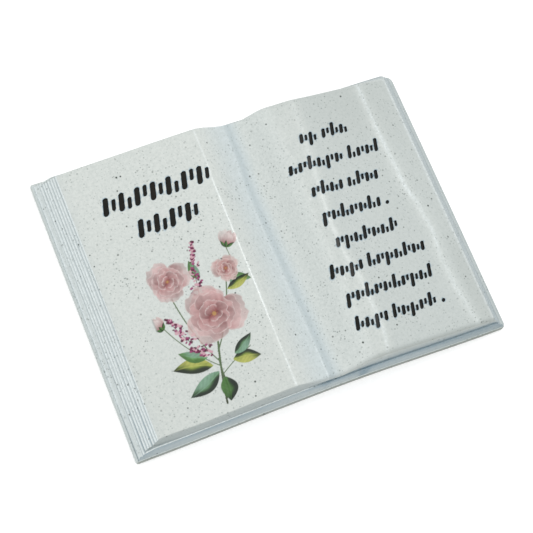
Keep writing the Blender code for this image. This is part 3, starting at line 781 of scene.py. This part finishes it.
# Fine noise breaks the painted highlights into a painted sparkle.
highlight_sparkle = spread(tree, noise(tree, place, 1100.0, 2.0, 0.7), 0.35, 0.65, 0.35, 1.75)
painted_highlight = maths(tree, "MULTIPLY", painted_shading.outputs[1], highlight_sparkle, clamp=True)
colour = mix(tree, painted_highlight, colour, HIGHLIGHT_COLOUR)
colour = mix(tree, painted_shading.outputs[0], colour, RECESS_SHADE)
grey_shade = wire(tree, "ShaderNodeAttribute", attribute_name="rim")
colour = mix(tree, grey_shade.outputs["Fac"], colour, PAINTED_SHADE_GREY)

# Grey flecks, small faint grit in clumps and larger dark grit.
fleck = maths(tree, "MULTIPLY_ADD", noise(tree, place, 900.0, 2.0, 0.7), 1.1, -0.42, clamp=True)
colour = mix(tree, fleck, colour, FLECK_GREY)
many = spread(tree, noise(tree, place, 55.0, 1.0), 0.35, 0.65)
faint, _ = grit(tree, place, cells=760.0, size=0.34, share=0.95, seed=0.31)
faint = maths(tree, "MULTIPLY", faint, maths(tree, "MULTIPLY_ADD", many, 0.46, 0.17))
colour = mix(tree, faint, colour, FAINT_GRIT)
dark, tint = grit(tree, place, cells=360.0, size=0.22, share=0.95, seed=0.77)
tint = maths(tree, "MULTIPLY", tint, tint)
dark = maths(tree, "MULTIPLY", dark, maths(tree, "MULTIPLY_ADD", tint, 0.75, 0.3))
colour = mix(tree, dark, colour, DARK_GRIT)

# Printed inks, a little uneven.
ink = wire(tree, "ShaderNodeAttribute", attribute_name="print")
wash = spread(tree, noise(tree, place, 420.0, 3.0, 0.6), 0.3, 0.7, 0.86, 1.1)
inked = mix(tree, 1.0, ink.outputs["Color"], wash, "MULTIPLY")
colour = mix(tree, ink.outputs["Alpha"], colour, inked)
tree.links.new(colour, shader.inputs["Base Color"])

# Fine grain and broader peel of the lacquer, with its gloss dulled where it is worn.
grain, peel = noise(tree, place, 1500.0, 2.0, 0.6), noise(tree, place, 330.0, 1.0)
relief = maths(tree, "MULTIPLY_ADD", grain, 0.35, peel)
bump = wire(tree, "ShaderNodeBump", {"Height": relief, "Strength": 0.5, "Distance": 0.0002})
tree.links.new(bump.outputs[0], shader.inputs["Normal"])
gloss = maths(tree, "MULTIPLY_ADD", broad, 0.10, 0.17)
gloss = maths(tree, "MULTIPLY_ADD", light_and_gloss.outputs["Alpha"], 0.5, gloss, clamp=True)
tree.links.new(gloss, shader.inputs["Roughness"])
shader.inputs["Specular IOR Level"].default_value = 0.3

black_paint.use_nodes = True
tree = black_paint.node_tree
shader = tree.nodes["Principled BSDF"]
place = wire(tree, "ShaderNodeTexCoord").outputs["Object"]
# A brownish painted sheen in soft patches over the black.
painted_highlight = noise(tree, place, 260.0, 2.0)
colour = mix(tree, painted_highlight, BLACK, BROWNISH_BLACK)
shader.inputs["Specular IOR Level"].default_value = 0.15
tree.links.new(colour, shader.inputs["Base Color"])
gloss = maths(tree, "MULTIPLY_ADD", painted_highlight, 0.2, 0.16)
tree.links.new(gloss, shader.inputs["Roughness"])

SHARP_FROM = math.radians(48)
casting.data.shade_smooth()
casting.data.set_sharp_from_angle(angle=SHARP_FROM)
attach(casting, "root")
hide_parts("book_casting")


# The set. The plaque lies on a plain white sheet that glows a little, under soft studio light, with a key
# panel from the right that draws the gloss along the ridge and the folds. The camera looks down on it from
# the front left.
SHEET_SIZE, SHEET_DROP = 4.0, 0.0002
bm = bmesh.new()
bmesh.ops.create_grid(bm, x_segments=1, y_segments=1, size=SHEET_SIZE)
bmesh.ops.translate(bm, verts=bm.verts, vec=(0, 0, -SHEET_DROP))
ground = bpy.data.objects.new("white_sheet", bpy.data.meshes.new("white_sheet"))
bm.to_mesh(ground.data)
bm.free()
bpy.context.scene.collection.objects.link(ground)
paper = bpy.data.materials.new("white_sheet")
paper.use_nodes = True
shader = paper.node_tree.nodes["Principled BSDF"]
shader.inputs["Base Color"].default_value = (0.85, 0.85, 0.85, 1)
shader.inputs["Roughness"].default_value = 0.9
# The sheet glows a little, which keeps it evenly white and lights the plaque faintly from below.
shader.inputs["Emission Color"].default_value = (1.0, 1.0, 1.0, 1)
shader.inputs["Emission Strength"].default_value = 0.22
ground.data.materials.append(paper)

world = bpy.data.worlds.new("studio")
world.use_nodes = True
world.node_tree.nodes["Background"].inputs["Color"].default_value = (1.0, 1.0, 1.0, 1)
world.node_tree.nodes["Background"].inputs["Strength"].default_value = 1.10
bpy.context.scene.world = world


def panel(name, direction, distance, width, height, power, colour):
    """Soft box that faces the plaque from a direction."""
    light = bpy.data.lights.new(name, "AREA")
    light.shape, light.size, light.size_y = "RECTANGLE", width, height
    light.energy, light.color = power, colour
    item = bpy.data.objects.new(name, light)
    way = Vector(direction).normalized()
    item.location = way * distance
    item.rotation_mode = "QUATERNION"
    item.rotation_quaternion = way.to_track_quat("Z", "Y")
    bpy.context.scene.collection.objects.link(item)


panel("key", (0.40, 0.235, 0.887), 1.1, 0.15, 0.15, 1.8, (1.0, 0.99, 0.97))
panel("fill", (-0.75, -0.25, 0.6), 1.4, 0.9, 0.9, 2.6, (0.97, 0.99, 1.0))

lens = bpy.data.cameras.new("camera")
lens.sensor_width, lens.lens = 36.0, 101.887
lens.clip_start, lens.clip_end = 0.05, 20.0
camera = bpy.data.objects.new("camera", lens)
camera.rotation_mode = "QUATERNION"
camera.location = (-0.1976429, -0.1612198, 0.6277254)
camera.rotation_quaternion = (0.9659314, 0.1439779, -0.1226298, -0.1766605)
bpy.context.scene.collection.objects.link(camera)
bpy.context.scene.camera = camera
bpy.context.scene.view_settings.view_transform = "Standard"
